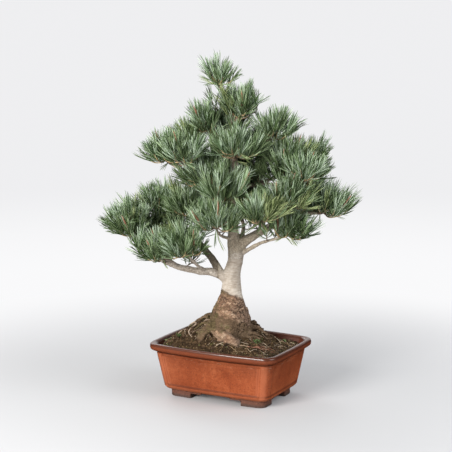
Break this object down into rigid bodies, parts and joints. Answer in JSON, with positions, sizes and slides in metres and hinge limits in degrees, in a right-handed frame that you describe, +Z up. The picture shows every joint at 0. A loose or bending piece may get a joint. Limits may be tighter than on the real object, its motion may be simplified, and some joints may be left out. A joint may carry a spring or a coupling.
{
  "type": "potted japanese white pine bonsai",
  "caption": "Grafted Japanese white pine grown as a bonsai, with needle pads on spreading boughs, in a glazed rectangular planter.",
  "frame": {"origin": "on the ground, under the middle of the whole plant's box", "axes": "+Z up, +X along the planter's long side, the planter's front at -Y; the tree's own broad front is turned 27.5 degrees about Z towards +X, as in the picture"},
  "size_m": [0.4698, 0.3899, 0.6497],
  "materials": {
    "glaze": "gloss",
    "soil": "matte",
    "bark": "matte",
    "needles": "matte"
  },
  "bodies": {
    "root": {"back_high_needles": "needles", "back_low_bough": "bark", "back_low_left_bough": "bark", "back_low_left_needles": "needles", "back_low_needles": "needles", "back_low_right_bough": "bark", "back_low_right_needles": "needles", "back_mid_bough": "bark", "back_mid_needles": "needles", "back_right_high_bough": "bark", "back_right_high_needles": "needles", "centre_front_needles": "needles", "centre_left_needles": "needles", "crown_right_needles": "needles", "far_left_bough": "bark", "far_left_needles": "needles", "far_right_bough": "bark", "far_right_high_bough": "bark", "far_right_high_needles": "needles", "far_right_needles": "needles", "front_low_bough": "bark", "front_low_needles": "needles", "front_mid_needles": "needles", "left_back_bough": "bark", "left_back_needles": "needles", "left_low_back_bough": "bark", "left_low_back_needles": "needles", "left_mid_bough": "bark", "left_mid_needles": "needles", "left_near_bough": "bark", "left_near_needles": "needles", "left_shoulder_needles": "needles", "left_under_bough": "bark", "left_under_needles": "needles", "low_right_bough": "bark", "low_right_needles": "needles", "pad_back_bough": "bark", "pad_back_needles": "needles", "pad_front_bough": "bark", "pad_front_needles": "needles", "pad_outer_bough": "bark", "pad_outer_needles": "needles", "pot": "glaze", "right_front_bough": "bark", "right_front_needles": "needles", "right_high_bough": "bark", "right_high_needles": "needles", "right_inner_bough": "bark", "right_inner_needles": "needles", "right_mid_back_bough": "bark", "right_mid_back_needles": "needles", "right_mid_front_bough": "bark", "right_mid_front_needles": "needles", "right_shoulder_bough": "bark", "right_shoulder_needles": "needles", "root_front": "bark", "root_left": "bark", "soil": "soil", "top_needles": "needles", "trunk": "bark"}
  },
  "joints": []
}
